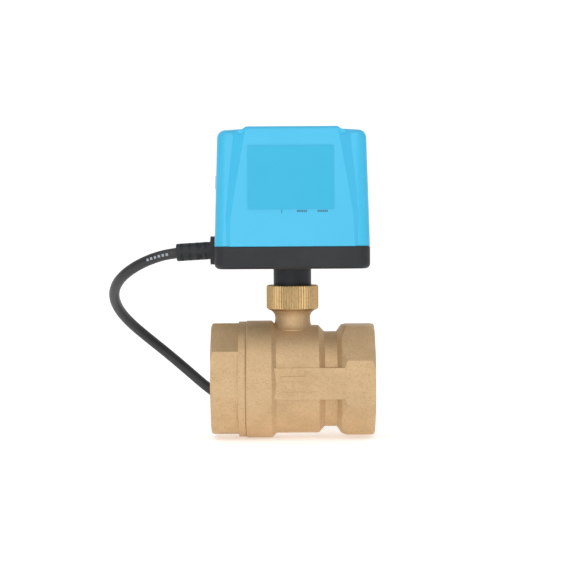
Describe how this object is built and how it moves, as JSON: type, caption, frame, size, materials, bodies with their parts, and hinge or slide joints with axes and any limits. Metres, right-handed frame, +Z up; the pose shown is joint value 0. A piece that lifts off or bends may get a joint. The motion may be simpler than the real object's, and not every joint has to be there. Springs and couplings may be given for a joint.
{
  "type": "motorised ball valve",
  "caption": "Brass two-way zone valve with female pipe threads, a knurled union nut and a blue and black plug-on electric actuator with a flying lead.",
  "frame": {"origin": "centre of the inlet thread's mouth, on the pipe axis", "axes": "+X along the pipe from inlet to outlet, +Z up along the stem to the actuator, front face towards -Y"},
  "size_m": [0.1425, 0.1758, 0.1605],
  "materials": {
    "cast_brass": "cast and shot-blasted, dull",
    "turned_brass": "turned and knurled, half bright",
    "chromed_brass": "polished",
    "ptfe": "smooth",
    "black_rubber": "matte",
    "bright_steel": "turned",
    "zinc_screws": "zinc plated",
    "zinc_plate": "zinc plated sheet",
    "motor_shell": "satin",
    "bronze_bush": "sintered, oiled",
    "white_acetal": "moulded",
    "red_acetal": "moulded",
    "switch_case": "moulded",
    "circuit_green": "solder mask",
    "capacitor_case": "potted box",
    "terminal_green": "moulded",
    "black_plastic": "fine moulded grain",
    "blue_plastic": "satin moulded",
    "label_film": "printed film, blank",
    "pale_film": "blank film",
    "black_sheath": "soft PVC, half matte",
    "tie_nylon": "nylon",
    "brown_insulation": "PVC",
    "black_insulation": "PVC",
    "blue_insulation": "PVC",
    "grey_insulation": "PVC",
    "tinned_copper": "tinned strands"
  },
  "bodies": {
    "valve": {"valve_body": "cast_brass", "end_cap": "cast_brass", "cap_seal": "black_rubber", "seat_inlet": "ptfe", "seat_outlet": "ptfe", "thrust_washer": "ptfe", "stem_packing": "ptfe", "gland_nut": "turned_brass", "retaining_ring": "bright_steel", "neck_adapter": "black_plastic", "neck_screws": "zinc_screws", "lower_bush": "bronze_bush", "upper_bush": "bronze_bush", "idler_pin": "bright_steel", "open_switch": "switch_case", "closed_switch": "switch_case", "switch_screws": "zinc_screws", "motor_plate": "zinc_plate", "plate_standoffs": "zinc_plate", "motor_can": "motor_shell", "motor_screws": "zinc_screws", "board_pillars": "zinc_plate", "circuit_board": "circuit_green", "board_screws": "zinc_screws", "capacitor": "capacitor_case", "terminal_block": "terminal_green", "base_tray": "black_plastic", "housing_gasket": "black_rubber", "cover": "blue_plastic", "cover_screws": "zinc_screws", "nameplate": "label_film", "side_label": "pale_film", "strain_relief": "black_plastic", "cable_lead": "black_sheath", "cable_coil": "black_sheath", "cable_tie": "tie_nylon", "core_brown": "brown_insulation", "core_black": "black_insulation", "core_blue": "blue_insulation", "core_tips": "tinned_copper", "inner_leads": "grey_insulation"},
    "closure": {"ball": "chromed_brass", "stem": "turned_brass", "stem_orings": "black_rubber", "drive_shaft": "bright_steel", "output_gear": "white_acetal", "cam": "red_acetal"},
    "idler": {"idler_gear": "white_acetal"},
    "pinion": {"motor_pinion": "turned_brass"},
    "lip_washer": {"slip_washer": "bright_steel"},
    "nut": {"union_nut": "turned_brass"},
    "open_button": {"open_plunger": "white_acetal"},
    "closed_button": {"closed_plunger": "white_acetal"}
  },
  "joints": [
    {"name": "valve_turn", "type": "hinge", "parent": "valve", "child": "closure", "pos_m": [0.042, 0, 0.04], "axis": [0, 0, 1], "range_deg": [0, 90]},
    {"name": "idler_turn", "type": "hinge", "parent": "valve", "child": "idler", "pos_m": [0.01882, 0.00621, 0.07], "axis": [0, 0, 1], "range_deg": [-360, 0]},
    {"name": "motor_turn", "type": "hinge", "parent": "valve", "child": "pinion", "pos_m": [0.02153, -0.00915, 0.074], "axis": [0, 0, 1], "range_deg": [0, 1200]},
    {"name": "nut_rise", "type": "slide", "parent": "valve", "child": "lip_washer", "axis": [0, 0, 1], "range_m": [0, 0.006]},
    {"name": "nut_turn", "type": "hinge", "parent": "lip_washer", "child": "nut", "pos_m": [0.042, 0, 0.043], "axis": [0, 0, 1], "range_deg": [0, 1440]},
    {"name": "open_button_press", "type": "slide", "parent": "valve", "child": "open_button", "axis": [0, -1, 0], "range_m": [0, 0.0006], "stiffness_N_per_m": 800},
    {"name": "closed_button_press", "type": "slide", "parent": "valve", "child": "closed_button", "axis": [1, 0, 0], "range_m": [0, 0.0006], "stiffness_N_per_m": 800}
  ],
  "couplings": [
    {"joint": "idler_turn", "follows": "valve_turn", "ratio": -4},
    {"joint": "motor_turn", "follows": "valve_turn", "ratio": 13.333},
    {"joint": "nut_turn", "follows": "nut_rise", "rad_per_m": 4188.8}
  ]
}
